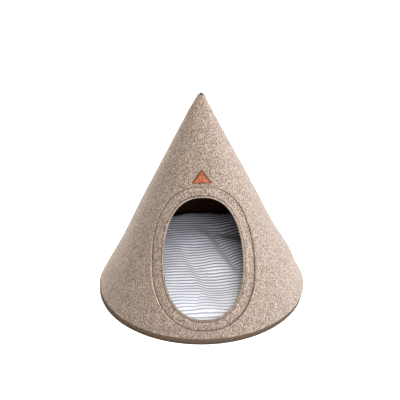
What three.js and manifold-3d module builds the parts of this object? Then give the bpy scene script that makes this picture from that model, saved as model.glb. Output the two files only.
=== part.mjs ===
// A cone-shaped den for a small dog, sewn from thick wool felt.
// One felt sheet is wound into a cone that stands on a stiff round base. An oval is cut out of its
// front, and a felt facing sewn behind that cut leaves the doorway. A striped cushion fills the floor,
// a leather label sits over the doorway, and a dark pointed end closes the tip.
// Millimetres, +Z up. The origin is under the middle of the base, and the doorway looks along -Y.
import * as THREE from "three";
import { mergeVertices } from "three/addons/utils/BufferGeometryUtils.js";
import Module from "manifold-3d";

const wasm = await Module();
wasm.setup();

// Clearance between pieces that touch
const GAP = 0.3;

// Base
const BASE_RADIUS = 274;
const BASE_THICKNESS = 16;
const BASE_SHIFT = -2.5;
const BASE_EDGE = 1.5;

// Felt cone: its outer face runs straight from the rim up to a sharp point that is cut off
const RIM_RADIUS = 275;
const POINT_HEIGHT = 571;
const FELT = 5;
const RIM_HEIGHT = BASE_THICKNESS + GAP;
const TIP_CUT_HEIGHT = 553;
const WALL_STEPS = 96;
const WALL_LEVELS = 13;

// Doorway and the cut-out round it, as ovals on the flat felt
const DOOR_SLANT = 420.5;
const DOOR_HALF_WIDTH = 107.5;
const DOOR_HALF_HEIGHT = 150.5;
const CUT_HALF_WIDTH = 141.5;
const CUT_HALF_HEIGHT = 178.5;
const FACING_LAP = 12;
const OVAL_POWER = 2.25;
const OVAL_STEPS = 96;
const CUTTER_REACH = 12;

// Leather label over the doorway
const LABEL_WIDTH = 50;
const LABEL_HEIGHT = 34;
const LABEL_FOOT_SLANT = 234.5;
const LABEL_THICKNESS = 2;
const LABEL_CORNER = 2.5;

// Pointed end in the tip
const TIP_FOOT_HEIGHT = 541;
const TIP_TOP_HEIGHT = 559;
const TIP_SHOULDER = { width: 0.85, rise: 0.65 };
const TIP_STEPS = 24;

// Cushion: a round bag whose seam runs halfway up its side. Its top tilts up to the back, and its sides
// lean in with the wall.
const CUSHION_RADIUS = 244;
const CUSHION_FOOT = BASE_THICKNESS + GAP;
const CUSHION_SEAM = 48;
const CUSHION_CROWN = 43;
const CUSHION_TILT = 0.105;
const SIDE_LEAN = 0.2;
const CUSHION_FLAT = 0.82;
const CROWN_POWER_FRONT = 2;
const CROWN_POWER_BACK = 16;
const CUSHION_STEPS = 80;
const CROWN_RINGS = 17;
const RING_CROWDING = 1.35;
const EDGE_POWER = 6;
const SEAM_DRAW = 4;
const SEAM_REACH = 9;
const PUCKER_COUNT = 20;
const PUCKER_DEPTH = 1.6;

// The cone's half angle, from the rim and the sharp point
const HALF_ANGLE = Math.atan2(RIM_RADIUS, POINT_HEIGHT - BASE_THICKNESS);
const SINE = Math.sin(HALF_ANGLE);
const COSINE = Math.cos(HALF_ANGLE);

// How the soft cone stands a little uneven: its point leans to -X and its very end bends back,
// its +X side is drawn in at one height and swells below it, and its -X side is drawn in too.
const LEAN = -5;
const END_BEND = { from: 500, by: 3 };
const SWELL_FADE_HEIGHT = 95;
const SIDE_SWELLS = [
  { azimuth: 90, spread: 38, height: 190, reach: 55, out: -2.5 },
  { azimuth: 90, spread: 38, height: 95, reach: 42, out: 4 },
  { azimuth: 270, spread: 45, height: 140, reach: 75, out: -3.5 },
];

// The cushion's creases and soft folds, seen from above: a line, how wide and deep the cloth sinks along
// it, how much the cloth stands up beyond it on its +X or +Y side, and how high a crest rises on its
// other side. Each fades over a share of its length at both ends.
const CREASES = [
  { from: [20, 150], to: [100, -90], width: 35, depth: 1, step: 9, crest: 8 },
  { from: [5, 160], to: [115, -125], width: 11, depth: 5, step: 0, crest: 0 },
  { from: [-70, 90], to: [35, -220], width: 12, depth: 4.5, step: -4, crest: 1 },
  { from: [-5, -115], to: [-30, -230], width: 20, depth: 0.5, step: 1.5, crest: 4.5 },
  { from: [20, 130], to: [195, 80], width: 35, depth: 4.5, step: 9, crest: -1.5 },
  { from: [20, 130], to: [185, 20], width: 15, depth: 8, step: 0, crest: 0 },
];
const CREASE_FADE = 0.3;

const FELT_COLOUR = "#b9a594";
const FACING_COLOUR = "#b4a08f";
const BASE_COLOUR = "#6b584a";
const CUSHION_COLOUR = "#dcdbe0";
const LEATHER_COLOUR = "#a4663f";
const TIP_COLOUR = "#3a382e";

const bed = new THREE.Group();

// One named piece with its own material.
function addPiece(name, geometry, colour, roughness) {
  geometry.computeVertexNormals();
  const material = new THREE.MeshStandardMaterial({ color: colour, roughness, metalness: 0 });
  const mesh = new THREE.Mesh(geometry, material);
  mesh.name = name;
  bed.add(mesh);
  return mesh;
}

// A closed surface over a grid: the steps run round the piece and close on themselves. The levels
// close on themselves too, or, with poles, their first and last are single points.
function gridGeometry(steps, levels, poles, pointAt) {
  const positions = [];
  for (let i = 0; i < steps; i++) {
    for (let j = 0; j < levels; j++) {
      positions.push(...pointAt((2 * Math.PI * i) / steps, j));
    }
  }
  const index = [];
  const strips = poles ? levels - 1 : levels;
  for (let i = 0; i < steps; i++) {
    const here = i * levels;
    const next = ((i + 1) % steps) * levels;
    for (let j = 0; j < strips; j++) {
      const up = (j + 1) % levels;
      if (!poles || j > 0) index.push(here + j, next + j, next + up);
      if (!poles || j < strips - 1) index.push(here + j, next + up, here + up);
    }
  }
  const geometry = new THREE.BufferGeometry();
  geometry.setAttribute("position", new THREE.Float32BufferAttribute(positions, 3));
  geometry.setIndex(index);
  return geometry;
}

// A closed geometry as a solid that can be cut.
function solidOf(geometry) {
  const bare = geometry.clone();
  bare.deleteAttribute("normal");
  bare.deleteAttribute("uv");
  const merged = mergeVertices(bare);
  const vertProperties = merged.getAttribute("position").array;
  const triVerts = new Uint32Array(merged.index.array);
  return new wasm.Manifold(new wasm.Mesh({ numProp: 3, vertProperties, triVerts }));
}

// A cut solid as a geometry again.
function geometryOf(solid) {
  const mesh = solid.getMesh();
  const geometry = new THREE.BufferGeometry();
  geometry.setAttribute("position", new THREE.BufferAttribute(mesh.vertProperties, 3));
  geometry.setIndex(new THREE.BufferAttribute(mesh.triVerts, 1));
  return geometry;
}

// The outer face's radius at a height.
function coneRadius(height) {
  return ((POINT_HEIGHT - height) * SINE) / COSINE;
}

// The cone's point for a place on the flat felt: across the door's middle line, down the slant from
// the sharp point, and a depth under the outer face.
function onCone(across, slant, depth) {
  const distance = Math.hypot(across, slant);
  const azimuth = Math.atan2(across, slant) / SINE;
  const radius = distance * SINE - depth * COSINE;
  const height = POINT_HEIGHT - distance * COSINE - depth * SINE;
  return [radius * Math.sin(azimuth), -radius * Math.cos(azimuth), height];
}

// Moves a point of the true cone to where the soft one stands.
function settle([x, y, z]) {
  const radius = Math.hypot(x, y);
  const azimuth = THREE.MathUtils.radToDeg(Math.atan2(x, -y));
  let swell = 0;
  for (const { azimuth: middle, spread, height, reach, out } of SIDE_SWELLS) {
    const turn = THREE.MathUtils.euclideanModulo(azimuth - middle + 180, 360) - 180;
    swell += out * Math.exp(-((turn / spread) ** 2) - ((z - height) / reach) ** 2);
  }
  swell *= THREE.MathUtils.smoothstep(z, BASE_THICKNESS, SWELL_FADE_HEIGHT);
  const lean = (LEAN * (z - BASE_THICKNESS)) / (POINT_HEIGHT - BASE_THICKNESS);
  const bend = END_BEND.by * THREE.MathUtils.smoothstep(z, END_BEND.from, POINT_HEIGHT);
  const stretch = radius > 0 ? 1 + swell / radius : 1;
  return [x * stretch + lean + bend, y * stretch, z];
}

function settleGeometry(geometry) {
  const place = geometry.getAttribute("position");
  for (let i = 0; i < place.count; i++) {
    place.setXYZ(i, ...settle([place.getX(i), place.getY(i), place.getZ(i)]));
  }
  return geometry;
}

// A point of an upright oval on the flat felt, round its middle.
function oval(halfWidth, halfHeight, angle) {
  const square = (value) => Math.sign(value) * Math.abs(value) ** (2 / OVAL_POWER);
  return [halfWidth * square(Math.cos(angle)), DOOR_SLANT + halfHeight * square(Math.sin(angle))];
}

// A plate that follows the cone: an outline on the flat felt between two depths, filled by rings.
function conePlate(outlineAt, middle, steps, shallow, deep) {
  const RINGS = [0, 0.3, 0.55, 0.8, 1];
  const levels = [
    ...RINGS.map((share) => ({ share, depth: shallow })),
    ...RINGS.toReversed().map((share) => ({ share, depth: deep })),
  ];
  return gridGeometry(steps, levels.length, true, (angle, level) => {
    const { share, depth } = levels[level];
    const edge = outlineAt(angle);
    const across = middle[0] + (edge[0] - middle[0]) * share;
    const slant = middle[1] + (edge[1] - middle[1]) * share;
    return onCone(across, slant, depth);
  });
}

// The cone: a felt wall turned about its axis, open at the cut tip, with the oval cut out of its front.
function makeConeWall() {
  const inner = FELT / COSINE;
  const profile = [];
  for (let i = 0; i <= WALL_LEVELS; i++) {
    const height = THREE.MathUtils.lerp(RIM_HEIGHT, TIP_CUT_HEIGHT, i / WALL_LEVELS);
    profile.push(new THREE.Vector2(coneRadius(height), height));
  }
  for (let i = WALL_LEVELS; i >= 0; i--) {
    const height = THREE.MathUtils.lerp(RIM_HEIGHT, TIP_CUT_HEIGHT, i / WALL_LEVELS);
    profile.push(new THREE.Vector2(coneRadius(height) - inner, height));
  }
  profile.push(profile[0].clone());
  const wall = new THREE.LatheGeometry(profile, WALL_STEPS);
  wall.rotateX(Math.PI / 2);
  const cutAt = (angle) => oval(CUT_HALF_WIDTH, CUT_HALF_HEIGHT, angle);
  const cutter = conePlate(cutAt, [0, DOOR_SLANT], OVAL_STEPS, -CUTTER_REACH, FELT + CUTTER_REACH);
  return settleGeometry(geometryOf(solidOf(wall).subtract(solidOf(cutter))));
}

// The facing: an oval felt ring behind the cut-out, its outer edge lapped under the wall and its
// inner edge, the doorway, rounded over.
function makeDoorFacing() {
  const front = FELT + GAP;
  const back = front + FELT;
  const round = FELT / 2;
  const middle = (front + back) / 2;
  const section = [];
  for (let turn = 0; turn <= 180; turn += 45) {
    const angle = THREE.MathUtils.degToRad(turn);
    const edge = round - round * Math.sin(angle);
    section.push({ share: 0, edge, depth: middle + round * Math.cos(angle) });
  }
  const shares = [1 / 3, 2 / 3, 1];
  for (const share of shares) section.push({ share, edge: 0, depth: front });
  for (const share of shares.toReversed()) section.push({ share, edge: 0, depth: back });
  return gridGeometry(OVAL_STEPS, section.length, false, (angle, level) => {
    const { share, edge, depth } = section[level];
    const door = oval(DOOR_HALF_WIDTH, DOOR_HALF_HEIGHT, angle);
    const rim = oval(CUT_HALF_WIDTH + FACING_LAP, CUT_HALF_HEIGHT + FACING_LAP, angle);
    const width = Math.hypot(rim[0] - door[0], rim[1] - door[1]);
    const along = share + edge / width;
    const across = THREE.MathUtils.lerp(door[0], rim[0], along);
    const slant = THREE.MathUtils.lerp(door[1], rim[1], along);
    return settle(onCone(across, slant, depth));
  });
}

// The base: a flat disc with rounded edges.
function makeBase() {
  const profile = [new THREE.Vector2(0, 0)];
  for (const [side, from] of [[BASE_EDGE, -90], [BASE_THICKNESS - BASE_EDGE, 0]]) {
    for (let turn = from; turn <= from + 90; turn += 30) {
      const angle = THREE.MathUtils.degToRad(turn);
      const radius = BASE_RADIUS - BASE_EDGE + BASE_EDGE * Math.cos(angle);
      profile.push(new THREE.Vector2(radius, side + BASE_EDGE * Math.sin(angle)));
    }
  }
  profile.push(new THREE.Vector2(0, BASE_THICKNESS));
  return new THREE.LatheGeometry(profile, WALL_STEPS).rotateX(Math.PI / 2);
}

// How far a crease lowers the cushion's top at a place, less the lift beyond it and the crest on its
// near side: a soft trough along a straight line that fades out at both ends.
function creaseDrop(x, y, { from, to, width, depth, step, crest }) {
  const [runX, runY] = [to[0] - from[0], to[1] - from[1]];
  const length = Math.hypot(runX, runY);
  const along = ((x - from[0]) * runX + (y - from[1]) * runY) / length ** 2;
  const across = ((y - from[1]) * runX - (x - from[0]) * runY) / length;
  const spread = across / width;
  const { smoothstep } = THREE.MathUtils;
  const strength = smoothstep(along, 0, CREASE_FADE) * (1 - smoothstep(along, 1 - CREASE_FADE, 1));
  const trough = Math.exp(-(spread ** 2));
  const lift = Math.max(0, spread) * Math.exp(-((spread / 4) ** 2));
  const ridge = Math.max(0, -spread) * Math.exp(-((spread / 2) ** 2));
  return strength * (depth * trough - step * lift - crest * ridge);
}

// The cushion: a filled round bag with a flat foot and sides drawn in at the seam. Its top is full and
// square-edged at the back, and slopes down to the doorway. Creases and soft folds cross it.
function makeCushion() {
  const FOOT_RINGS = [0, 0.3, 0.6, CUSHION_FLAT, 0.9, 0.955, 0.985];
  const levels = FOOT_RINGS.map((share) => ({ share, top: false }));
  for (let i = 0; i <= CROWN_RINGS; i++) {
    levels.push({ share: 1 - (i / CROWN_RINGS) ** RING_CROWDING, top: true });
  }
  return gridGeometry(CUSHION_STEPS, levels.length, true, (angle, level) => {
    const { share, top } = levels[level];
    const edge = share ** EDGE_POWER;
    const back = (1 - Math.cos(angle)) / 2;
    const power = THREE.MathUtils.lerp(CROWN_POWER_FRONT, CROWN_POWER_BACK, back);
    const crown = CUSHION_CROWN - CUSHION_TILT * share * CUSHION_RADIUS * Math.cos(angle);
    const curl = Math.max(0, (share - CUSHION_FLAT) / (1 - CUSHION_FLAT));
    const sink = (CUSHION_SEAM - CUSHION_FOOT) * Math.sqrt(1 - curl ** 2);
    const rise = top ? crown * Math.sqrt(1 - share ** power) : -sink;
    const draw = SEAM_DRAW * Math.exp(-((rise / SEAM_REACH) ** 2));
    const pucker = PUCKER_DEPTH * Math.cos(PUCKER_COUNT * angle);
    const lean = SIDE_LEAN * Math.max(rise, 0);
    const radius = share * CUSHION_RADIUS - (draw + pucker + lean) * edge;
    const x = radius * Math.sin(angle);
    const y = -radius * Math.cos(angle);
    let height = CUSHION_SEAM + rise;
    if (top) {
      for (const crease of CREASES) height -= (1 - edge) * creaseDrop(x, y, crease);
    }
    return [x, y, height];
  });
}

// The label: a leather triangle with small round corners, lying on the cone over the doorway.
function makeLabel() {
  const shallow = -GAP - LABEL_THICKNESS;
  const half = LABEL_WIDTH / 2;
  const top = LABEL_FOOT_SLANT - LABEL_HEIGHT;
  const corners = [[half, LABEL_FOOT_SLANT], [-half, LABEL_FOOT_SLANT], [0, top]];
  const outline = [];
  corners.forEach((corner, i) => {
    const before = corners[(i + 2) % 3];
    const after = corners[(i + 1) % 3];
    const step = (other) => {
      const length = Math.hypot(other[0] - corner[0], other[1] - corner[1]);
      return other.map((value, axis) => corner[axis] + ((value - corner[axis]) * LABEL_CORNER) / length);
    };
    const [from, to] = [step(before), step(after)];
    outline.push(from, corner.map((value, axis) => (from[axis] + to[axis] + 2 * value) / 4), to);
    for (const share of [0.25, 0.5, 0.75]) {
      outline.push(corner.map((value, axis) => THREE.MathUtils.lerp(value, after[axis], share)));
    }
  });
  const middle = [0, LABEL_FOOT_SLANT - LABEL_HEIGHT / 3];
  const at = (angle) => outline[Math.round((angle / (2 * Math.PI)) * outline.length)];
  return settleGeometry(conePlate(at, middle, outline.length, shallow, -GAP));
}

// The pointed end: a plug that fills the cone's inside at the tip and stands out of the cut as a point.
function makeTip() {
  const inside = (height) => coneRadius(height) - (FELT + GAP) / COSINE;
  const profile = [
    new THREE.Vector2(0, TIP_FOOT_HEIGHT),
    new THREE.Vector2(inside(TIP_FOOT_HEIGHT), TIP_FOOT_HEIGHT),
    new THREE.Vector2(inside(TIP_CUT_HEIGHT), TIP_CUT_HEIGHT),
    new THREE.Vector2(
      inside(TIP_CUT_HEIGHT) * TIP_SHOULDER.width,
      THREE.MathUtils.lerp(TIP_CUT_HEIGHT, TIP_TOP_HEIGHT, TIP_SHOULDER.rise),
    ),
    new THREE.Vector2(0, TIP_TOP_HEIGHT),
  ];
  return settleGeometry(new THREE.LatheGeometry(profile, TIP_STEPS).rotateX(Math.PI / 2));
}

const base = addPiece("base", makeBase(), BASE_COLOUR, 0.9);
base.position.x = BASE_SHIFT;
addPiece("cone_wall", makeConeWall(), FELT_COLOUR, 0.95);
addPiece("door_facing", makeDoorFacing(), FACING_COLOUR, 0.95);
addPiece("cushion", makeCushion(), CUSHION_COLOUR, 0.85);
addPiece("label", makeLabel(), LEATHER_COLOUR, 0.55);
addPiece("tip", makeTip(), TIP_COLOUR, 0.7);

export default bed;
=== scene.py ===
"""A cone-shaped den for a small dog: thick wool felt wound into a cone on a round base, with an oval
doorway, a striped cushion on its floor, a leather label and a dark pointed end.
Metres, +Z up. The origin is under the middle of the base, and the doorway looks along -Y."""
import math
import bmesh
import bpy
import numpy as np
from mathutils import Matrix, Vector


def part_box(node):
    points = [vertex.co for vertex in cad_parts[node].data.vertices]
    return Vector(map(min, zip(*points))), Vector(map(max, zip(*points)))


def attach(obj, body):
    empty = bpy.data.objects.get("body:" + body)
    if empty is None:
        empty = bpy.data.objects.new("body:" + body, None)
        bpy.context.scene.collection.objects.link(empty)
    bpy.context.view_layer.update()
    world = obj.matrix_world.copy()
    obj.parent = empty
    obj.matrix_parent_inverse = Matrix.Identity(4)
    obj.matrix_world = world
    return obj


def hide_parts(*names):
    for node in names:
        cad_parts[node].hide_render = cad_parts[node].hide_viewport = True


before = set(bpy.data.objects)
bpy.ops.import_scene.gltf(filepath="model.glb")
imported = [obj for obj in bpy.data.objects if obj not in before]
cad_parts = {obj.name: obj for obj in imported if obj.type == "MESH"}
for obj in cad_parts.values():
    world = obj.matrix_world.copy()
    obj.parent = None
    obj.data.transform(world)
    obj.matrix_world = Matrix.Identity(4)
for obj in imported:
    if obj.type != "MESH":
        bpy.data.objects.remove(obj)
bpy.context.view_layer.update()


# The studio: a white floor that glows a little, two soft lights behind the den on both sides, one at its
# right and three in front, one over the other. The camera looks down at the doorway, a little from its left.
CAMERA_PLACE = (-0.0697, -2.1774, 1.4333)
CAMERA_TARGET = (-0.0051, 0.0002, 0.2587)
CAMERA_LENS = 85.9
FLOOR_SIZE = 60.0
STUDIO_WHITE = "ffffff"
FLOOR_GLOW = 0.6
SURROUND = 0.05
LIGHTS_AWAY = 2.5
STUDIO_LIGHTS = [
    {"name": "right_back_light", "azimuth": 110, "height": 20, "size": 1.2, "watts": 75, "tint": "eef3ff"},
    {"name": "right_side_light", "azimuth": 60, "height": 12, "size": 1.0, "watts": 27, "tint": "e3f2ff"},
    {"name": "left_back_light", "azimuth": -160, "height": 25, "size": 1.2, "watts": 95, "tint": "ffffff"},
    {"name": "high_front_light", "azimuth": 0, "height": 55, "size": 1.2, "watts": 28, "tint": "fbfaf0"},
    {"name": "middle_front_light", "azimuth": 15, "height": 40, "size": 1.2, "watts": 30, "tint": "fbf9ff"},
    {"name": "low_front_light", "azimuth": 10, "height": 14, "size": 1.5, "watts": 24, "tint": "ebf1ff"},
]


def colour(code):
    """The linear colour of an sRGB hex code: below 0.04045 a straight line, above it a power of 2.4."""
    value = np.array([int(code[i:i + 2], 16) for i in (0, 2, 4)]) / 255
    linear = np.where(value <= 0.04045, value / 12.92, ((value + 0.055) / 1.055) ** 2.4)
    return (*linear.tolist(), 1.0)


def new_material(name, settings):
    """A material whose Principled shader has these settings. Returns it, its tree and the shader."""
    material = bpy.data.materials.new(name)
    material.use_nodes = True
    tree = material.node_tree
    shader = tree.nodes["Principled BSDF"]
    for socket, value in settings.items():
        shader.inputs[socket].default_value = value
    return material, tree, shader


def add_mesh(name, points, faces):
    """A smooth mesh object at the origin from arrays of points and of faces."""
    mesh = bpy.data.meshes.new(name)
    mesh.from_pydata(points.reshape(-1, 3).tolist(), [], faces.reshape(-1, faces.shape[-1]).tolist())
    mesh.shade_smooth()
    piece = bpy.data.objects.new(name, mesh)
    bpy.context.scene.collection.objects.link(piece)
    return piece


half_floor = FLOOR_SIZE / 2
floor_corners = half_floor * np.array([[-1, -1, 0], [1, -1, 0], [1, 1, 0], [-1, 1, 0]])
floor = add_mesh("floor", floor_corners, np.array([[0, 1, 2, 3]]))
# Matt white paint: even, with hardly any shine
floor_paint = new_material("matt_white_paint", {
    "Base Color": colour(STUDIO_WHITE),
    "Roughness": 0.9,
    "Specular IOR Level": 0.1,
    "Emission Color": colour(STUDIO_WHITE),
    "Emission Strength": FLOOR_GLOW,
})[0]
floor.data.materials.append(floor_paint)

scene = bpy.context.scene
scene.view_settings.view_transform = "Standard"
scene.world = bpy.data.worlds.new("white_surround")
scene.world.use_nodes = True
surround = scene.world.node_tree.nodes["Background"]
surround.inputs["Color"].default_value = colour(STUDIO_WHITE)
surround.inputs["Strength"].default_value = SURROUND


def aim(thing, place, target):
    """Puts a camera or light at a place, looking at a target with its top side up."""
    thing.location = place
    thing.rotation_euler = (Vector(target) - Vector(place)).to_track_quat("-Z", "Y").to_euler()


for light in STUDIO_LIGHTS:
    lamp = bpy.data.lights.new(light["name"], "AREA")
    lamp.shape = "DISK"
    lamp.size = light["size"]
    lamp.energy = light["watts"]
    lamp.color = colour(light["tint"])[:3]
    lamp_object = bpy.data.objects.new(light["name"], lamp)
    scene.collection.objects.link(lamp_object)
    turn, rise = np.radians([light["azimuth"], light["height"]])
    from_den = np.array([np.sin(turn) * np.cos(rise), -np.cos(turn) * np.cos(rise), np.sin(rise)])
    middle = np.array(CAMERA_TARGET)
    aim(lamp_object, (middle + LIGHTS_AWAY * from_den).tolist(), CAMERA_TARGET)

camera = bpy.data.objects.new("camera", bpy.data.cameras.new("camera"))
camera.data.lens = CAMERA_LENS
scene.collection.objects.link(camera)
aim(camera, CAMERA_PLACE, CAMERA_TARGET)
scene.camera = camera


# The base: a round slab of dense dark brown felt that the cone stands on. Its edge is cut square and
# only a little worn, and it shows as a dark band under the rim. Its tones are darkened towards its foot as
# painted shade and lightened towards its top as painted light.
MM = 0.001
base_low, base_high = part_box("base")
BASE_RADIUS = (base_high.x - base_low.x) / 2
BASE_MIDDLE = (base_high.x + base_low.x) / 2
BASE_THICKNESS = base_high.z
BASE_EDGE = 1.5 * MM
BASE_STEPS = 240
BASE_RINGS = 7
ROUND_STEPS = 5
MERGE_DISTANCE = 0.01 * MM
BASE_TONES = ["3b2f24", "504033", "655343"]
BASE_FOOT_PAINTED_SHADE = 0.55
BASE_TOP_PAINTED_LIGHT = 1.4
PATCH_CLUMPS = 4
PATCH_SHARE = 0.15
FIBRE_TURNS = (32, -48)
SPECKLE_RANGE = (1.27, 1.88)
FELT_RELIEF = 0.8 * MM
BLOOM_TINT = "f4e9dc"


def turned(profile, steps, middle=0.0):
    """A profile of radii and heights turned about an upright axis, as a grid of steps by levels. Middle
    is the axis's place on X."""
    angle = np.linspace(0, 2 * np.pi, steps, endpoint=False)[:, None]
    radius, height = np.asarray(profile).T
    x = middle + radius * np.sin(angle)
    return np.stack([x, -radius * np.cos(angle), np.broadcast_to(height, x.shape)], -1)


def grid_faces(steps, levels, wrap):
    """Faces of a grid that closes round its steps, and over its levels too where wrap is true."""
    step, level = np.meshgrid(np.arange(steps), np.arange(levels if wrap else levels - 1), indexing="ij")
    after, above = (step + 1) % steps, (level + 1) % levels
    corners = [(step, level), (after, level), (after, above), (step, above)]
    return np.stack([i * levels + j for i, j in corners], -1).reshape(-1, 4)


def points_of(piece):
    """The piece's points as an array of rows."""
    values = np.empty(len(piece.data.vertices) * 3, np.float32)
    piece.data.vertices.foreach_get("co", values)
    return values.reshape(-1, 3).astype(float)


def add_attribute(piece, name, values):
    """Keeps a number or a vector for each point of a piece, for its material to read."""
    kind, field = ("FLOAT", "value") if values.ndim == 1 else ("FLOAT_VECTOR", "vector")
    attribute = piece.data.attributes.new(name, kind, "POINT")
    attribute.data.foreach_set(field, values.astype(np.float32).ravel())


def close_ends(piece):
    """Merges the points that a turned grid has many of on its axis."""
    merged = bmesh.new()
    merged.from_mesh(piece.data)
    bmesh.ops.remove_doubles(merged, verts=merged.verts, dist=MERGE_DISTANCE)
    merged.to_mesh(piece.data)
    merged.free()


def add_node(tree, kind, settings=None, links=None):
    """Adds a node. Settings go to its inputs, by name or number, or else to its own properties, and
    links join its inputs to other nodes' outputs."""
    made = tree.nodes.new("ShaderNode" + kind)
    for name, value in (settings or {}).items():
        if isinstance(name, int) or name in made.inputs:
            made.inputs[name].default_value = value
        else:
            setattr(made, name, value)
    for name, output in (links or {}).items():
        tree.links.new(output, made.inputs[name])
    return made


def felt_material(name, tones, coordinates, clump, fibre, fibre_length, bloom=0.2, shade=None):
    """Wool felt: fibres of several tones pressed together, which show as a speckle of soft clumps with
    short streaks across each other, matt, with a pale bloom at grazing angles. Real wool fibres are some
    0.03 mm thick: the clumps and streaks are drawn far coarser, so that they show. Shade names a number
    kept on the piece that the tones are multiplied by: painted shade where it is below 1, painted light
    above 1."""
    material, tree, shader = new_material(name, {
        "Roughness": 0.95,
        "Specular IOR Level": 0.15,
        "Sheen Weight": bloom,
        "Sheen Roughness": 0.6,
        "Sheen Tint": colour(BLOOM_TINT),
    })
    if coordinates == "Object":
        place = add_node(tree, "TexCoord").outputs["Object"]
    else:
        place = add_node(tree, "Attribute", {"attribute_name": coordinates}).outputs["Vector"]
    patches = add_node(tree, "TexNoise", {"Scale": 1 / (PATCH_CLUMPS * clump), "Detail": 1.0},
                       {"Vector": place})
    clumps = add_node(tree, "TexNoise", {"Scale": 1 / clump, "Detail": 3.0, "Roughness": 0.65},
                      {"Vector": place})
    total = add_node(tree, "Math", {"operation": "MULTIPLY_ADD", 1: PATCH_SHARE},
                     {0: patches.outputs["Fac"], 2: clumps.outputs["Fac"]}).outputs[0]
    for turn in FIBRE_TURNS:
        mapped = add_node(tree, "Mapping", {
            "Rotation": (0, 0, np.radians(turn)),
            "Scale": (1 / fibre, 1 / fibre_length, 1 / fibre),
        }, {"Vector": place})
        streaks = add_node(tree, "TexNoise", {"Scale": 1.0, "Detail": 2.0, "Roughness": 0.6},
                           {"Vector": mapped.outputs["Vector"]})
        total = add_node(tree, "Math", {"operation": "ADD"},
                         {0: total, 1: streaks.outputs["Fac"]}).outputs[0]
    speckle = add_node(tree, "MapRange", {"From Min": SPECKLE_RANGE[0], "From Max": SPECKLE_RANGE[1]},
                       {"Value": total})
    ramp = add_node(tree, "ValToRGB", {}, {"Fac": speckle.outputs[0]})
    stops = ramp.color_ramp.elements
    while len(stops) < len(tones):
        stops.new(0.5)
    for i, tone in enumerate(tones):
        stops[i].position = i / (len(tones) - 1)
        stops[i].color = colour(tone)
    tint = ramp.outputs["Color"]
    if shade:
        level = add_node(tree, "Attribute", {"attribute_name": shade}).outputs["Color"]
        tint = add_node(tree, "Mix", {"data_type": "RGBA", "blend_type": "MULTIPLY", 0: 1.0},
                        {6: tint, 7: level}).outputs[2]
    tree.links.new(tint, shader.inputs["Base Color"])
    bump = add_node(tree, "Bump", {"Strength": 0.6, "Distance": FELT_RELIEF}, {"Height": total})
    tree.links.new(bump.outputs["Normal"], shader.inputs["Normal"])
    return material


quarter = np.linspace(-np.pi / 2, 0, ROUND_STEPS)
lower_edge = np.stack([BASE_RADIUS - BASE_EDGE + BASE_EDGE * np.cos(quarter),
                       BASE_EDGE + BASE_EDGE * np.sin(quarter)], -1)
upper_edge = np.stack([lower_edge[::-1, 0], BASE_THICKNESS - lower_edge[::-1, 1]], -1)
inner_rings = np.linspace(0, BASE_RADIUS - BASE_EDGE, BASE_RINGS, endpoint=False)
base_profile = np.concatenate([
    np.stack([inner_rings, np.zeros(BASE_RINGS)], -1),
    lower_edge,
    upper_edge,
    np.stack([inner_rings[::-1], np.full(BASE_RINGS, BASE_THICKNESS)], -1),
])
base = add_mesh("base_slab", turned(base_profile, BASE_STEPS, BASE_MIDDLE),
                grid_faces(BASE_STEPS, len(base_profile), wrap=False))
close_ends(base)
base.data.materials.append(felt_material(
    "dense_brown_felt", BASE_TONES, "Object", clump=3 * MM, fibre=1 * MM, fibre_length=6 * MM, bloom=0,
    shade="shade"))
# Painted shade darkens the slab towards its foot and painted light lightens it towards its top
base_share = points_of(base)[:, 2] / BASE_THICKNESS
add_attribute(base, "shade", BASE_FOOT_PAINTED_SHADE + (BASE_TOP_PAINTED_LIGHT - BASE_FOOT_PAINTED_SHADE) * base_share)
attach(base, "root")
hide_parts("base")


# The cone: one sheet of thick heathered wool felt wound round until its two straight edges meet at the
# back. An oval is cut out of its front and its sharp point is cut off. The face inside is given very dark
# brown tones as painted shade.
RIM_RADIUS = 275 * MM
POINT_HEIGHT = 571 * MM
FELT = 5 * MM
GAP = 0.3 * MM
RIM_HEIGHT = BASE_THICKNESS + GAP
TIP_CUT_HEIGHT = 553 * MM
DOOR_SLANT = 420.5 * MM
CUT_HALF_WIDTH = 141.5 * MM
CUT_HALF_HEIGHT = 178.5 * MM
OVAL_POWER = 2.25
EDGE_ROUNDING = 1.2 * MM
WALL_STEPS = 640
WALL_RINGS = 40
TOP_CROWDING = 0.35
HALF_ANGLE = np.arctan2(RIM_RADIUS, POINT_HEIGHT - BASE_THICKNESS)
SINE, COSINE = np.sin(HALF_ANGLE), np.cos(HALF_ANGLE)
SHEET_HALF_TURN = np.pi * SINE
TINY = 1e-9
LEAN = -5 * MM
END_BEND = {"from": 500 * MM, "by": 3 * MM}
SWELL_FADE_HEIGHT = 95 * MM
SIDE_SWELLS = [
    {"azimuth": 90, "spread": 38, "height": 190 * MM, "reach": 55 * MM, "out": -2.5 * MM},
    {"azimuth": 90, "spread": 38, "height": 95 * MM, "reach": 42 * MM, "out": 4 * MM},
    {"azimuth": 270, "spread": 45, "height": 140 * MM, "reach": 75 * MM, "out": -3.5 * MM},
]
FELT_TONES = ["45372e", "736254", "958374", "b5a79b"]
FELT_PATTERN_DEPTH = 5.5 * MM
DARK_FACE_FROM = 0.7 * FELT
RAW_EDGE_WIDTH = 0.7 * EDGE_ROUNDING
RAW_EDGE_PAINTED_LIGHT = 1.4
# The raw edge of the cut-out is lightened as painted light, more so low at its -X side, and darkened
# above that as painted shade. Angles run from the +X side by way of the foot.
EDGE_PAINTED_LOBES = [
    {"angle": 130, "power": 3, "shade": 0.8},
    {"angle": 235, "power": 4, "shade": -0.5},
]
# Very dark tones for the inside faces, as painted shade
INNER_PAINTED_SHADE_TONES = ["1b0c03", "2c1606", "3c200a"]


def smooth_step(value, low, high):
    """0 below low, 1 above high, and 3 t squared less 2 t cubed between them."""
    t = np.clip((value - low) / (high - low), 0, 1)
    return t * t * (3 - 2 * t)


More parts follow.
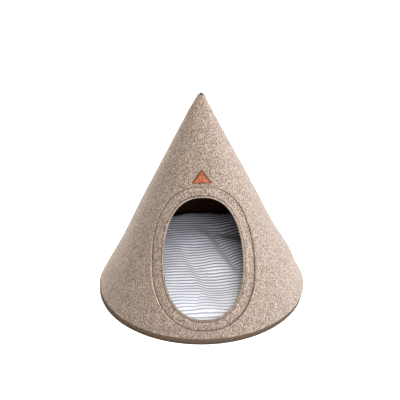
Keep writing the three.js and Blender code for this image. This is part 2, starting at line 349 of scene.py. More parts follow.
def wound(azimuth, distance, depth):
    """A point of the cone: its turn from the doorway's middle, its distance down the slant from the
    sharp point, and its depth under the outer face."""
    radius = distance * SINE - depth * COSINE
    height = POINT_HEIGHT - distance * COSINE - depth * SINE
    return settled(np.stack([radius * np.sin(azimuth), -radius * np.cos(azimuth), height], -1))


def settled(points):
    """Where the soft cone really stands: swells that fade as bells, a straight lean and a bent end."""
    x, y, z = np.moveaxis(points, -1, 0)
    radius = np.hypot(x, y)
    azimuth = np.degrees(np.arctan2(x, -y))
    swell = np.zeros_like(x)
    for side in SIDE_SWELLS:
        turn = (azimuth - side["azimuth"] + 180) % 360 - 180
        bell = (turn / side["spread"]) ** 2 + ((z - side["height"]) / side["reach"]) ** 2
        swell += side["out"] * np.exp(-bell)
    swell *= smooth_step(z, BASE_THICKNESS, SWELL_FADE_HEIGHT)
    lean = LEAN * (z - BASE_THICKNESS) / (POINT_HEIGHT - BASE_THICKNESS)
    bend = END_BEND["by"] * smooth_step(z, END_BEND["from"], POINT_HEIGHT)
    stretch = 1 + swell / np.maximum(radius, MM)
    return np.stack([x * stretch + lean + bend, y * stretch, z], -1)


def on_cone(across, slant, depth):
    """The cone's point for a place on the flat felt: the felt's angle grows by 1 over the sine of the
    half angle as it is wound."""
    return wound(np.arctan2(across, slant) / SINE, np.hypot(across, slant), depth)


def oval(half_width, half_height, angle):
    """A rounder-shouldered ellipse on the flat felt, round the doorway's middle."""
    def square(value):
        return np.sign(value) * np.abs(value) ** (2 / OVAL_POWER)
    return half_width * square(np.cos(angle)), DOOR_SLANT + half_height * square(np.sin(angle))


def sheet_edge(angle, depth):
    """Where a ray from the doorway's middle leaves the flat sheet: the nearest of the round rim and
    the straight edge, but not past the cut tip."""
    run, drop = np.cos(angle), np.sin(angle)
    rim = (POINT_HEIGHT - RIM_HEIGHT - depth * SINE) / COSINE
    tip = (POINT_HEIGHT - TIP_CUT_HEIGHT - depth * SINE) / COSINE
    to_rim = np.sqrt(rim ** 2 - (DOOR_SLANT * run) ** 2) - DOOR_SLANT * drop
    side = np.abs(run) * np.cos(SHEET_HALF_TURN) - drop * np.sin(SHEET_HALF_TURN)
    to_side = DOOR_SLANT * np.sin(SHEET_HALF_TURN) / np.maximum(side, TINY)
    reach = np.minimum(to_rim, to_side)
    past = (tip ** 2 - (DOOR_SLANT * run) ** 2 >= 0) & (drop < 0)
    to_tip = -DOOR_SLANT * drop - np.sqrt(np.maximum(tip ** 2 - (DOOR_SLANT * run) ** 2, 0))
    reach = np.where(past & (to_tip < reach), to_tip, reach)
    return reach * run, DOOR_SLANT + reach * drop


def felt_section(front_shares, back_shares, thickness, inner_rounding):
    """The section of a felt ring or sheet as rows of share, edge and depth: round its inner edge, out
    over its front, round its outer edge and back. Edge is the distance in from the nearer edge."""
    turn = np.linspace(0, np.pi / 2, ROUND_STEPS)
    inward, sunk = inner_rounding * (1 - np.sin(turn)), inner_rounding * (1 - np.cos(turn))
    rows = [(0, e, thickness - d) for e, d in zip(inward, sunk)]
    rows += [(0, e, d) for e, d in zip(inward[::-1], sunk[::-1])]
    rows += [(share, 0, 0) for share in front_shares]
    inward, sunk = EDGE_ROUNDING * (1 - np.sin(turn)), EDGE_ROUNDING * (1 - np.cos(turn))
    rows += [(1, -e, d) for e, d in zip(inward, sunk)]
    rows += [(1, -e, thickness - d) for e, d in zip(inward[::-1], sunk[::-1])]
    rows += [(share, 0, thickness) for share in back_shares]
    return np.array(rows).T


def felt_piece(name, inner, outer, section, depth, shade):
    """A felt ring between an inner and an outer outline on the flat felt, wound onto the cone. Each
    place is the two outlines mixed by share, with the edge's distance added. Its pattern is taken at
    that place on the flat felt, a set depth into the wool."""
    share, edge, _ = section
    width = np.hypot(outer[0] - inner[0], outer[1] - inner[1])
    along = share + edge / width
    across = inner[0] + (outer[0] - inner[0]) * along
    slant = inner[1] + (outer[1] - inner[1]) * along
    piece = add_mesh(name, on_cone(across, slant, depth), grid_faces(*across.shape, wrap=True))
    place = np.stack([across, slant, depth + FELT_PATTERN_DEPTH + 0 * across], -1)
    add_attribute(piece, "felt", place.reshape(-1, 3))
    add_attribute(piece, "shade", (shade + 0 * across).ravel())
    return piece


def two_faced(piece, back_levels):
    """Heathered felt on a piece's front and very dark felt, as painted shade, on the faces between two of
    its back levels.
    """
    piece.data.materials.append(heathered_felt)
    piece.data.materials.append(shaded_inner_felt)
    back = back_levels & np.roll(back_levels, -1)
    steps = len(piece.data.polygons) // len(back)
    piece.data.polygons.foreach_set("material_index", np.tile(back, steps).astype(np.int32))


spread = np.linspace(-1, 1, WALL_STEPS, endpoint=False)[:, None]
wall_angle = -np.pi / 2 + np.pi * (TOP_CROWDING * spread + (1 - TOP_CROWDING) * spread ** 3)
wall_section = felt_section(
    np.linspace(0, 1, WALL_RINGS)[1:-1], np.linspace(1, 0, WALL_RINGS // 2)[1:-1], FELT, EDGE_ROUNDING)
cut_scale = 1 / (np.abs(np.cos(wall_angle) / CUT_HALF_WIDTH) ** OVAL_POWER
                 + np.abs(np.sin(wall_angle) / CUT_HALF_HEIGHT) ** OVAL_POWER) ** (1 / OVAL_POWER)
cut_line = (cut_scale * np.cos(wall_angle), DOOR_SLANT + cut_scale * np.sin(wall_angle))
raw_edge = (wall_section[0] == 0) & (wall_section[1] < RAW_EDGE_WIDTH)
# Painted light on the cut-out's raw edge, with painted shade above its -X side
painted_edge_tone = RAW_EDGE_PAINTED_LIGHT
for stretch in EDGE_PAINTED_LOBES:
    nearness = np.maximum(np.cos(wall_angle - np.radians(stretch["angle"])), 0)
    painted_edge_tone = painted_edge_tone + stretch["shade"] * nearness ** stretch["power"]
wall = felt_piece("felt_cone", cut_line, sheet_edge(wall_angle, wall_section[2]), wall_section,
                  wall_section[2], np.where(raw_edge, painted_edge_tone, 1.0))
heathered_felt = felt_material("heathered_wool_felt", FELT_TONES, "felt", clump=2.9 * MM, fibre=2 * MM,
                               fibre_length=4.2 * MM, shade="shade")
shaded_inner_felt = felt_material(
    "painted_shade_inner_felt", INNER_PAINTED_SHADE_TONES, "felt", clump=4 * MM, fibre=2 * MM, fibre_length=9 * MM, bloom=0.0)
two_faced(wall, wall_section[2] > DARK_FACE_FROM)
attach(wall, "root")
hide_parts("cone_wall")


# The facing: an oval ring of the same felt sewn behind the cut-out, a felt's thickness deeper. A row of
# stitches close to its inner edge draws the felt down and leaves a soft roll round the doorway.
DOOR_HALF_WIDTH = 107.5 * MM
DOOR_HALF_HEIGHT = 150.5 * MM
FACING_LAP = 12 * MM
FACING_DEPTH = FELT + GAP
FACING_STEPS = 420
FACING_FRONT_SHARES = np.linspace(0.06, 0.98, 60)
FACING_BACK_SHARES = np.linspace(0.95, 0.06, 10)
FACING_DARK_FROM = 0.9 * FELT
ROLL_WIDTH = 5.5 * MM
ROLL_RISE = 1.0 * MM
# Painted light lifts the facing's tones a little and the roll's more; painted shade darkens the stitch
# groove and the groove along the cut line
FACING_PAINTED_LIGHT = 1.06
ROLL_PAINTED_LIGHT = 1.1
GROOVE_DEPTH = 2.4 * MM
GROOVE_REACH = 1.2 * MM
GROOVE_PAINTED_SHADE = 0.4
CUT_GROOVE_DEPTH = 1.6 * MM
CUT_GROOVE_REACH = 1.2 * MM
CUT_GROOVE_PAINTED_SHADE = 0.35

facing_angle = np.linspace(0, 2 * np.pi, FACING_STEPS, endpoint=False)[:, None]
door_line = oval(DOOR_HALF_WIDTH, DOOR_HALF_HEIGHT, facing_angle)
lap_line = oval(CUT_HALF_WIDTH + FACING_LAP, CUT_HALF_HEIGHT + FACING_LAP, facing_angle)
under_cut = oval(CUT_HALF_WIDTH, CUT_HALF_HEIGHT, facing_angle)
facing_section = felt_section(FACING_FRONT_SHARES, FACING_BACK_SHARES, FELT, FELT / 2)
facing_width = np.hypot(lap_line[0] - door_line[0], lap_line[1] - door_line[1])
from_door = facing_section[0] * facing_width + np.maximum(facing_section[1], 0)
front_side = facing_section[2] < FELT / 2
roll = np.sin(np.pi * np.clip(from_door / ROLL_WIDTH, 0, 1))
groove = front_side * np.exp(-((from_door - ROLL_WIDTH) / GROOVE_REACH) ** 2)
to_cut = np.hypot(under_cut[0] - door_line[0], under_cut[1] - door_line[1])
cut_groove = front_side * np.exp(-((from_door - to_cut) / CUT_GROOVE_REACH) ** 2)
facing_depth = (FACING_DEPTH + facing_section[2] + GROOVE_DEPTH * groove + CUT_GROOVE_DEPTH * cut_groove
                - ROLL_RISE * front_side * roll)
# Painted light on the facing and its roll, painted shade in its two grooves
facing_painted_tone = (np.where(from_door < ROLL_WIDTH, ROLL_PAINTED_LIGHT, FACING_PAINTED_LIGHT)
                + (GROOVE_PAINTED_SHADE - 1) * groove + (CUT_GROOVE_PAINTED_SHADE - 1) * cut_groove)
facing = felt_piece("door_facing_ring", door_line, lap_line, facing_section, facing_depth, facing_painted_tone)
two_faced(facing, facing_section[2] > FACING_DARK_FROM)
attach(facing, "root")
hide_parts("door_facing")


# The sewing: waxed dark brown thread. One row runs round the doorway in the facing's groove, and slanted
# stitches cross from edge to edge where the cone's felt meets at the back.
THREAD = 1.0 * MM
ROW_PITCH = 4.2 * MM
ROW_STITCH = 3.7 * MM
SEAM_PITCH = 9 * MM
SEAM_STITCH_WIDTH = 8 * MM
SEAM_STITCH_SLOPE = 3 * MM
THREAD_TONES = ["2e2119", "463427"]
STITCH_SIDES = 6
STITCH_PLACES = 9
ROW_SAMPLES = 2001
ROW_RISE = THREAD / 3
SEAM_RISE = THREAD / 4
STRAND = 0.8 * MM
STRAND_RELIEF = 0.2 * MM
along_stitch = np.linspace(-1, 1, STITCH_PLACES)
round_thread = np.linspace(0, 2 * np.pi, STITCH_SIDES, endpoint=False)[:, None]


def thread_piece(name, points):
    """Closed thread loops from an array of stitches by sides by places along each."""
    count, sides, places = points.shape[:3]
    starts = (np.arange(count) * sides * places)[:, None, None]
    piece = add_mesh(name, points, starts + grid_faces(sides, places, wrap=False))
    close_ends(piece)
    piece.data.materials.append(waxed_thread)
    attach(piece, "root")
    return piece


def thread_material(name):
    """Waxed cotton thread: dark, twisted, with a dull shine along its strands, which are drawn coarser
    than real ones so that they show."""
    material, tree, shader = new_material(name, {"Roughness": 0.6, "Specular IOR Level": 0.35})
    place = add_node(tree, "TexCoord").outputs["Object"]
    strands = add_node(tree, "TexNoise", {"Scale": 1 / STRAND, "Detail": 2.0}, {"Vector": place})
    dark, pale = [colour(tone) for tone in THREAD_TONES]
    tint = add_node(tree, "Mix", {"data_type": "RGBA", 6: dark, 7: pale}, {0: strands.outputs["Fac"]})
    tree.links.new(tint.outputs[2], shader.inputs["Base Color"])
    bump = add_node(tree, "Bump", {"Strength": 0.4, "Distance": STRAND_RELIEF},
                    {"Height": strands.outputs["Fac"]})
    tree.links.new(bump.outputs["Normal"], shader.inputs["Normal"])
    return material


waxed_thread = thread_material("waxed_brown_thread")
# A stitch is a tube that narrows to nothing at both ends and dives into the felt there
thread_radius = THREAD / 2 * np.sqrt(1 - along_stitch ** 8)
dive = THREAD * along_stitch ** 4

# The doorway's row: places at even lengths along the groove, each stitch a tube laid on the flat felt
row_angle = np.linspace(0, 2 * np.pi, ROW_SAMPLES)
row_across, row_slant = oval(DOOR_HALF_WIDTH + ROLL_WIDTH, DOOR_HALF_HEIGHT + ROLL_WIDTH, row_angle)
row_length = np.concatenate([[0], np.cumsum(np.hypot(np.diff(row_across), np.diff(row_slant)))])
row_count = round(row_length[-1] / ROW_PITCH)
row_places = (np.arange(row_count)[:, None, None] + 0.5) * row_length[-1] / row_count
row_places = (row_places + along_stitch * ROW_STITCH / 2) % row_length[-1]
step_across = np.gradient(row_across, row_length)
step_slant = np.gradient(row_slant, row_length)
side_step = thread_radius * np.cos(round_thread)
stitch_across = np.interp(row_places, row_length, row_across) + side_step * np.interp(
    row_places, row_length, step_slant)
stitch_slant = np.interp(row_places, row_length, row_slant) - side_step * np.interp(
    row_places, row_length, step_across)
row_depth = FACING_DEPTH + GROOVE_DEPTH - ROW_RISE + dive - thread_radius * np.sin(round_thread)
door_stitches = thread_piece("doorway_stitches", on_cone(
    stitch_across, stitch_slant, row_depth + 0 * stitch_across))

# The back's row: each stitch crosses the seam at a slant
seam_from = (POINT_HEIGHT - TIP_CUT_HEIGHT) / COSINE + 2 * SEAM_PITCH
seam_to = (POINT_HEIGHT - RIM_HEIGHT) / COSINE - SEAM_PITCH
seam_places = np.arange(seam_from, seam_to, SEAM_PITCH)[:, None, None]
seam_distance = seam_places + along_stitch * SEAM_STITCH_SLOPE / 2 + side_step
seam_azimuth = np.pi + along_stitch * SEAM_STITCH_WIDTH / 2 / (seam_distance * SINE)
seam_depth = dive - SEAM_RISE - thread_radius * np.sin(round_thread)
seam_stitches = thread_piece("back_seam_stitches", wound(
    seam_azimuth, seam_distance, seam_depth + 0 * seam_distance))


# The cushion: a round bag of white cotton with narrow blue-grey woven stripes, filled and soft. It fills
# the floor, stands high at the back and slopes to the doorway. Its loose top lies in creases, soft folds
# and ripples, and its stripes are weakened a little in front as painted light.
CUSHION_RADIUS = 244 * MM
CUSHION_FOOT = RIM_HEIGHT
CUSHION_SEAM = 48 * MM
CUSHION_CROWN = 43 * MM
CUSHION_TILT = 0.105
SIDE_LEAN = 0.2
CUSHION_FLAT = 0.82
CROWN_POWER_FRONT = 2
CROWN_POWER_BACK = 16
EDGE_POWER = 6
SEAM_DRAW = 4 * MM
SEAM_REACH = 9 * MM
PUCKER_COUNT = 20
PUCKER_DEPTH = 1.6 * MM
CUSHION_STEPS = 240
FOOT_RINGS = 12
SIDE_SHARES = np.linspace(0.85, 0.02, 10)
SIDE_CROWDING = 1.6
CROWN_RINGS = 50
RING_CROWDING = 1.35
SHRINK_POWER = 8
SHRINK = 3 * MM
VOXEL = 5 * MM
SWELL_FRAMES = 20
SWELL_PRESSURE = 4.0
SWELL_LIMIT = 2.5 * MM
TOP_FADE = 12 * MM
# Creases and soft folds, seen from above, in millimetres
CREASES = [
    {"from": (20, 150), "to": (100, -90), "wide": 35, "deep": 1, "step": 9, "crest": 8, "slip": 0},
    {"from": (5, 160), "to": (115, -125), "wide": 11, "deep": 5, "step": 0, "crest": 0, "slip": 0},
    {"from": (-70, 90), "to": (35, -220), "wide": 12, "deep": 4.5, "step": -4, "crest": 1, "slip": 5},
    {"from": (-5, -115), "to": (-30, -230), "wide": 20, "deep": 0.5, "step": 1.5, "crest": 4.5, "slip": -4},
    {"from": (20, 130), "to": (195, 80), "wide": 35, "deep": 4.5, "step": 9, "crest": -1.5, "slip": 0},
    {"from": (20, 130), "to": (185, 20), "wide": 15, "deep": 8, "step": 0, "crest": 0, "slip": 0},
]
CREASE_FADE = 0.3
CREASE_REACH = {"step": 4, "crest": 2, "slip": 5}
# Ripples: length and height in millimetres, turn and start in degrees
RIPPLES = [
    {"length": 90, "turn": -10, "start": -10, "high": 0.7},
    {"length": 90, "turn": 60, "start": 100, "high": 0.8},
    {"length": 65, "turn": 30, "start": 155, "high": 0.5},
    {"length": 55, "turn": -55, "start": 105, "high": 0.2},
    {"length": 45, "turn": -15, "start": 240, "high": 0.2},
    {"length": 35, "turn": 25, "start": 325, "high": 0.25},
    {"length": 20, "turn": -10, "start": 75, "high": 0.15},
]
RIPPLES_END = 165 * MM
RIPPLES_FADE = 60 * MM
STRIPE_REPEAT = 10.8 * MM
STRIPE_SHARE = 0.4
STRIPE_BLUR = 0.03
SLUB_SIZE = (30 * MM, 1.5 * MM, 3 * MM)
SLUB_RANGE = (0.3, 0.7)
SLUB_PALEST = 0.75
THREAD_RELIEF = 0.3 * MM
PROFILES_ACROSS = 123
PROFILE_PLACES = 489
COTTON_WHITE = "f5f4f7"
STRIPE_TONE = "7c7e8f"
# Painted light: the stripes are weakened towards the front, where most light falls
STRIPE_PAINTED_LIGHT = 0.25
PAINTED_LIGHT_FROM = 90 * MM
PAINTED_LIGHT_TO = 190 * MM


def crease_form(x, y, crease):
    """A soft trough along a straight line, a bell across it, with the cloth beyond it, on its +X or +Y
    side, lifted and its stripes slipped, and a crest on its other side. All of it fades at both ends by
    smooth steps. Returns drop and slip."""
    start, end = np.array(crease["from"]) * MM, np.array(crease["to"]) * MM
    run = end - start
    length = np.hypot(*run)
    along = ((x - start[0]) * run[0] + (y - start[1]) * run[1]) / length ** 2
    across = ((y - start[1]) * run[0] - (x - start[0]) * run[1]) / length
    spread = across / (crease["wide"] * MM)
    strength = MM * smooth_step(along, 0, CREASE_FADE) * (1 - smooth_step(along, 1 - CREASE_FADE, 1))
    beyond, before = np.maximum(0, spread), np.maximum(0, -spread)
    drop = (crease["deep"] * np.exp(-spread ** 2)
            - crease["step"] * beyond * np.exp(-(spread / CREASE_REACH["step"]) ** 2)
            - crease["crest"] * before * np.exp(-(spread / CREASE_REACH["crest"]) ** 2))
    slip = crease["slip"] * smooth_step(spread, -1, 1) * np.exp(-(beyond / CREASE_REACH["slip"]) ** 2)
    return strength * drop, strength * slip


def ripple_height(x, y):
    """Soft ripples of the loose cloth: sines of several lengths, each along its own turn from +X, that
    fade towards the back by a smooth step."""
    height = np.zeros_like(x)
    for ripple in RIPPLES:
        turn = np.radians(ripple["turn"])
        way = (x * np.cos(turn) + y * np.sin(turn)) / (ripple["length"] * MM)
        height += ripple["high"] * MM * np.sin(2 * np.pi * way + np.radians(ripple["start"]))
    return height * smooth_step(RIPPLES_END - y, 0, RIPPLES_FADE)


def crown_height(x, y):
    """Height of the cushion's smooth top over its seam: a plane that tilts up to the back, rounded off
    at the rim by a power that is low in front and high at the back."""
    share = np.minimum(np.hypot(x, y) / CUSHION_RADIUS, 1)
    angle = np.arctan2(x, -y)
    power = CROWN_POWER_FRONT + (CROWN_POWER_BACK - CROWN_POWER_FRONT) * (1 - np.cos(angle)) / 2
    return (CUSHION_CROWN + CUSHION_TILT * y) * np.sqrt(1 - share ** power)


def cushion_grid(shrink):
    """The bag as a grid: rings over the flat foot, up the curled side to the seam and over the crown."""
    angle = np.linspace(0, 2 * np.pi, CUSHION_STEPS, endpoint=False)[:, None]
    side = 1 - (1 - CUSHION_FLAT) * SIDE_SHARES ** SIDE_CROWDING
    lower = np.concatenate([np.linspace(0, CUSHION_FLAT, FOOT_RINGS), side])
    upper = 1 - np.linspace(0, 1, CROWN_RINGS) ** RING_CROWDING
    share = np.concatenate([lower, upper])
    top = np.arange(len(share)) >= len(lower)
    curl = np.maximum(0, (share - CUSHION_FLAT) / (1 - CUSHION_FLAT))
    sink = (CUSHION_SEAM - CUSHION_FOOT) * np.sqrt(1 - curl ** 2)
    flat_x, flat_y = share * CUSHION_RADIUS * np.sin(angle), -share * CUSHION_RADIUS * np.cos(angle)
    rise = np.where(top, crown_height(flat_x, flat_y), -sink)
    draw = SEAM_DRAW * np.exp(-(rise / SEAM_REACH) ** 2)
    pucker = PUCKER_DEPTH * np.cos(PUCKER_COUNT * angle)
    lean = SIDE_LEAN * np.maximum(rise, 0)
    radius = share * (CUSHION_RADIUS - shrink) - (draw + pucker + lean) * share ** EDGE_POWER
    height = CUSHION_SEAM + rise - shrink * np.where(top, np.sqrt(1 - share ** SHRINK_POWER), 0)
    return np.stack([radius * np.sin(angle), -radius * np.cos(angle), height], -1)


def set_points(piece, points):
    """Moves the piece's points to the rows of an array."""
    piece.data.vertices.foreach_set("co", points.astype(np.float32).ravel())
    piece.data.update()


bag = cushion_grid(SHRINK)
cushion = add_mesh("striped_cushion", bag, grid_faces(*bag.shape[:2], wrap=False))
close_ends(cushion)
cushion.data.remesh_voxel_size = VOXEL
bpy.context.view_layer.objects.active = cushion
bpy.ops.object.voxel_remesh()

before = points_of(cushion)
cloth = cushion.modifiers.new("filling", "CLOTH")
cloth.settings.use_pressure = True
cloth.settings.uniform_pressure_force = SWELL_PRESSURE
cloth.settings.effector_weights.gravity = 0
cloth.point_cache.frame_end = SWELL_FRAMES
for step in range(1, SWELL_FRAMES + 1):
    scene.frame_set(step)
swollen = cushion.evaluated_get(bpy.context.evaluated_depsgraph_get())
after = np.empty(len(before) * 3, np.float32)
swollen.data.vertices.foreach_get("co", after)
cushion.modifiers.clear()
scene.frame_set(1)
move = after.reshape(-1, 3) - before
length = np.linalg.norm(move, axis=1, keepdims=True)
move *= np.minimum(1, SWELL_LIMIT / np.maximum(length, TINY))
move[:, 2] = np.maximum(move[:, 2], CUSHION_FOOT - before[:, 2])
set_points(cushion, before + move)

smooth = cushion.modifiers.new("smooth_cloth", "SUBSURF")
smooth.levels = smooth.render_levels = 1
bpy.context.view_layer.objects.active = cushion
bpy.ops.object.modifier_apply(modifier=smooth.name)

points = points_of(cushion)
edge_fade = 1 - np.minimum(np.hypot(points[:, 0], points[:, 1]) / CUSHION_RADIUS, 1) ** EDGE_POWER
on_top = smooth_step(points[:, 2], CUSHION_SEAM, CUSHION_SEAM + TOP_FADE) * edge_fade
cloth_slip = np.zeros(len(points))
points[:, 2] += on_top * ripple_height(points[:, 0], points[:, 1])
for crease in CREASES:
    drop, slip = crease_form(points[:, 0], points[:, 1], crease)
    points[:, 2] -= on_top * drop
    cloth_slip += slip
set_points(cushion, points)


def stripe_place(x, y):
    """How far along the cloth a point of the top lies: the length of the smooth crown's profile from
    the middle to it, summed in short steps along Y."""
    across = np.linspace(-CUSHION_RADIUS, CUSHION_RADIUS, PROFILES_ACROSS)
    along = np.linspace(-CUSHION_RADIUS, CUSHION_RADIUS, PROFILE_PLACES)
    height = crown_height(across[:, None], along[None, :])
    pace = np.hypot(np.diff(along), np.diff(height, axis=1))
    length = np.concatenate([np.zeros((len(across), 1)), np.cumsum(pace, axis=1)], axis=1)
    length -= length[:, len(along) // 2:len(along) // 2 + 1]
    i = np.clip((x + CUSHION_RADIUS) / (across[1] - across[0]), 0, len(across) - 1)
    j = np.clip((y + CUSHION_RADIUS) / (along[1] - along[0]), 0, len(along) - 1)
    i0 = np.minimum(i.astype(int), len(across) - 2)
    j0 = np.minimum(j.astype(int), len(along) - 2)
    u, v = i - i0, j - j0
    low = length[i0, j0] * (1 - v) + length[i0, j0 + 1] * v
    high = length[i0 + 1, j0] * (1 - v) + length[i0 + 1, j0 + 1] * v
    return low * (1 - u) + high * u


add_attribute(cushion, "stripe", stripe_place(points[:, 0], points[:, 1]) + cloth_slip)
# Painted light: the stripes' strength falls towards the front
add_attribute(cushion, "woven", 1 - STRIPE_PAINTED_LIGHT * smooth_step(-points[:, 1], PAINTED_LIGHT_FROM, PAINTED_LIGHT_TO))


def ticking_material(name):
    """Plain-woven cotton: white with narrow stripes woven in, uneven where the threads thicken, with those
    slubs in its relief too and a little sheen. The slubs are drawn larger than real ones so that they
    show."""
    material, tree, shader = new_material(name, {
        "Roughness": 0.85,
        "Specular IOR Level": 0.25,
        "Sheen Weight": 0.1,
        "Sheen Roughness": 0.5,
    })
    place = add_node(tree, "Attribute", {"attribute_name": "stripe"}).outputs["Fac"]
    object_place = add_node(tree, "TexCoord").outputs["Object"]
    turns = add_node(tree, "Math", {"operation": "MULTIPLY", 1: 1 / STRIPE_REPEAT}, {0: place})
    part = add_node(tree, "Math", {"operation": "FRACT"}, {0: turns.outputs[0]})
    centred = add_node(tree, "Math", {"operation": "SUBTRACT", 1: 0.5}, {0: part.outputs[0]})
    away = add_node(tree, "Math", {"operation": "ABSOLUTE"}, {0: centred.outputs[0]})
    line = add_node(tree, "MapRange", {
        "interpolation_type": "SMOOTHSTEP",
        "From Min": STRIPE_SHARE / 2 - STRIPE_BLUR,
        "From Max": STRIPE_SHARE / 2 + STRIPE_BLUR,
        "To Min": 1.0,
        "To Max": 0.0,
    }, {"Value": away.outputs[0]})
    long_slubs = add_node(tree, "Mapping", {"Scale": [1 / length for length in SLUB_SIZE]},
                          {"Vector": object_place})
    slubs = add_node(tree, "TexNoise", {"Scale": 1.0, "Detail": 2.0},
                     {"Vector": long_slubs.outputs["Vector"]})
    strength = add_node(tree, "MapRange", {
        "From Min": SLUB_RANGE[0],
        "From Max": SLUB_RANGE[1],
        "To Min": SLUB_PALEST,
        "To Max": 1.0,
    }, {"Value": slubs.outputs["Fac"]})
    # The stripes' strength read here falls towards the front, as painted light
    woven = add_node(tree, "Attribute", {"attribute_name": "woven"}).outputs["Fac"]
    even = add_node(tree, "Math", {"operation": "MULTIPLY"}, {0: strength.outputs[0], 1: woven})
    amount = add_node(tree, "Math", {"operation": "MULTIPLY"}, {0: line.outputs[0], 1: even.outputs[0]})
    tint = add_node(tree, "Mix", {"data_type": "RGBA", 6: colour(COTTON_WHITE), 7: colour(STRIPE_TONE)},
                    {0: amount.outputs[0]})
    tree.links.new(tint.outputs[2], shader.inputs["Base Color"])
    bump = add_node(tree, "Bump", {"Strength": 0.3, "Distance": THREAD_RELIEF},
                    {"Height": slubs.outputs["Fac"]})
    tree.links.new(bump.outputs["Normal"], shader.inputs["Normal"])
    return material


cushion.data.materials.append(ticking_material("striped_cotton"))
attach(cushion, "root")
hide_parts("cushion")


# The label: a triangle of smooth tan leather fixed over the doorway, left plain. A line is creased along
# its sides, and its cut edges are rubbed dark.
LABEL_WIDTH = 50 * MM
LABEL_HEIGHT = 34 * MM
LABEL_FOOT_SLANT = 234.5 * MM
LABEL_THICKNESS = 2 * MM
LABEL_CORNER_POWER = 22
LABEL_STEPS = 180
LABEL_FRONT_SHARES = np.linspace(0, 0.98, 30)
LABEL_BACK_SHARES = np.linspace(0.9, 0, 6)
LABEL_ROUNDING = 0.7 * MM
CREASE_LINE = {"in": 3.5 * MM, "deep": 0.5 * MM, "reach": 0.8 * MM}
LEATHER_TONES = ["6b331b", "94502c", "ae6a42"]
LEATHER_STOPS = (0.3, 0.5, 0.7)
MOTTLE_SIZE = 7 * MM
PORE_SIZE = 0.9 * MM
PORE_DEPTH = 0.15 * MM
BURNISHED_TONE = "34140a"
RUBBED_FROM = 0.8 * MM
RUBBED_TO = 3.4 * MM
LINE_RUBBED = 0.5


def leather_material(name):
    """Smooth vegetable-tanned leather: mottled, with fine pores drawn coarser than real ones so that they
    show, a dull shine and darker rubbed edges."""
    material, tree, shader = new_material(name, {
        "Roughness": 0.5,
        "Specular IOR Level": 0.2,
    })
    place = add_node(tree, "Attribute", {"attribute_name": "felt"}).outputs["Vector"]
    near_edge = add_node(tree, "Attribute", {"attribute_name": "rubbed"}).outputs["Fac"]
    mottle = add_node(tree, "TexNoise", {"Scale": 1 / MOTTLE_SIZE, "Detail": 4.0, "Roughness": 0.6},
                      {"Vector": place})
    ramp = add_node(tree, "ValToRGB", {}, {"Fac": mottle.outputs["Fac"]})
    ramp.color_ramp.elements.new(0.5)
    for stop, position, tone in zip(ramp.color_ramp.elements, LEATHER_STOPS, LEATHER_TONES):
        stop.position = position
        stop.color = colour(tone)
    tint = add_node(tree, "Mix", {"data_type": "RGBA", 7: colour(BURNISHED_TONE)},
                    {0: near_edge, 6: ramp.outputs["Color"]})
    tree.links.new(tint.outputs[2], shader.inputs["Base Color"])
    pores = add_node(tree, "TexVoronoi", {"Scale": 1 / PORE_SIZE}, {"Vector": place})
    bump = add_node(tree, "Bump", {"Strength": 0.25, "Distance": PORE_DEPTH},
                    {"Height": pores.outputs["Distance"]})
    tree.links.new(bump.outputs["Normal"], shader.inputs["Normal"])
    return material


def label_outline(angle):
    """How far the label reaches from its middle: the inverse of a high power sum of the three sides'
    reaches, which rounds the corners."""
    third = LABEL_HEIGHT / 3
    lean = np.arctan2(LABEL_WIDTH / 2, LABEL_HEIGHT)
    side_reach = 2 * third * np.sin(lean)
    total = 0
    for facing_to, reach in ((np.pi / 2, third), (-lean, side_reach), (np.pi + lean, side_reach)):
        total = total + (np.maximum(np.cos(angle - facing_to), 0) / reach) ** LABEL_CORNER_POWER
    return total ** (-1 / LABEL_CORNER_POWER)


label_angle = np.linspace(0, 2 * np.pi, LABEL_STEPS, endpoint=False)[:, None]
label_reach = label_outline(label_angle)
label_turn = np.linspace(0, np.pi / 2, ROUND_STEPS)
rounded_in = LABEL_ROUNDING * (1 - np.sin(label_turn))
rounded_down = LABEL_ROUNDING * (1 - np.cos(label_turn))
label_in = np.concatenate([0 * LABEL_FRONT_SHARES, rounded_in, rounded_in[::-1], 0 * LABEL_BACK_SHARES])
label_down = np.concatenate([0 * LABEL_FRONT_SHARES, rounded_down, LABEL_THICKNESS - rounded_down[::-1],
                             LABEL_THICKNESS + 0 * LABEL_BACK_SHARES])
label_share = np.concatenate([LABEL_FRONT_SHARES, np.ones(2 * ROUND_STEPS), LABEL_BACK_SHARES])
label_out = label_share * (label_reach - LABEL_ROUNDING) + (label_share == 1) * (LABEL_ROUNDING - label_in)
side_distance = label_reach - label_out
front_half = label_down < LABEL_THICKNESS / 2
creased = CREASE_LINE["deep"] * np.exp(-((side_distance - CREASE_LINE["in"]) / CREASE_LINE["reach"]) ** 2)
label_depth = label_down - LABEL_THICKNESS - GAP + front_half * creased
label_across = label_out * np.cos(label_angle)
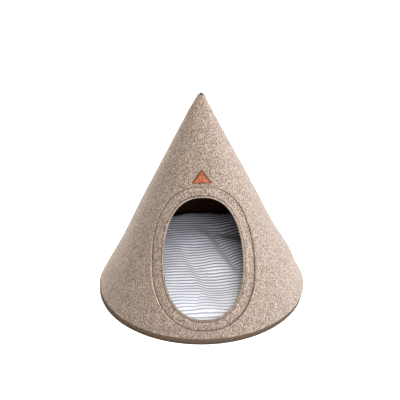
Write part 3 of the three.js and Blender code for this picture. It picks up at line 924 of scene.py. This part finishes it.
label_slant = LABEL_FOOT_SLANT - LABEL_HEIGHT / 3 + label_out * np.sin(label_angle)
label = add_mesh("leather_label", on_cone(label_across, label_slant, label_depth),
                 grid_faces(*label_out.shape, wrap=False))
add_attribute(label, "felt", np.stack([label_across, label_slant, label_depth], -1).reshape(-1, 3))
rubbed = 1 - smooth_step(side_distance, RUBBED_FROM, RUBBED_TO) + LINE_RUBBED * creased / CREASE_LINE["deep"]
add_attribute(label, "rubbed", np.clip(rubbed, 0, 1).ravel())
close_ends(label)
label.data.materials.append(leather_material("tan_leather"))
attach(label, "root")
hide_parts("label")


# The pointed end: a plug of dense dark felt pushed up into the cut tip from inside. It fills the hole,
# and only a small blunt point of it stands out.
TIP_FOOT_HEIGHT = 541 * MM
TIP_TOP_HEIGHT = 559 * MM
TIP_BLUNTNESS = 4
TIP_STEPS = 48
TIP_SIDE_RINGS = 4
TIP_POINT_RINGS = 9
TIP_TONES = ["211f18", "38352b", "4b4638"]


def tip_inside(height):
    """The radius of the cone's inside at a height, with a little clearance."""
    return (POINT_HEIGHT - height) * SINE / COSINE - (FELT + GAP) / COSINE


tip_side = np.linspace(TIP_FOOT_HEIGHT, TIP_CUT_HEIGHT, TIP_SIDE_RINGS)
tip_rise = np.linspace(0, 1, TIP_POINT_RINGS)[1:]
tip_profile = np.concatenate([
    [[0, TIP_FOOT_HEIGHT]],
    np.stack([tip_inside(tip_side), tip_side], -1),
    np.stack([tip_inside(TIP_CUT_HEIGHT) * np.sqrt(1 - tip_rise ** TIP_BLUNTNESS),
              TIP_CUT_HEIGHT + (TIP_TOP_HEIGHT - TIP_CUT_HEIGHT) * tip_rise], -1),
])
tip = add_mesh("dark_tip", settled(turned(tip_profile, TIP_STEPS)),
               grid_faces(TIP_STEPS, len(tip_profile), wrap=False))
close_ends(tip)
tip.data.materials.append(felt_material(
    "dark_felt", TIP_TONES, "Object", clump=2 * MM, fibre=0.8 * MM, fibre_length=4 * MM))
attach(tip, "root")
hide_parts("tip")
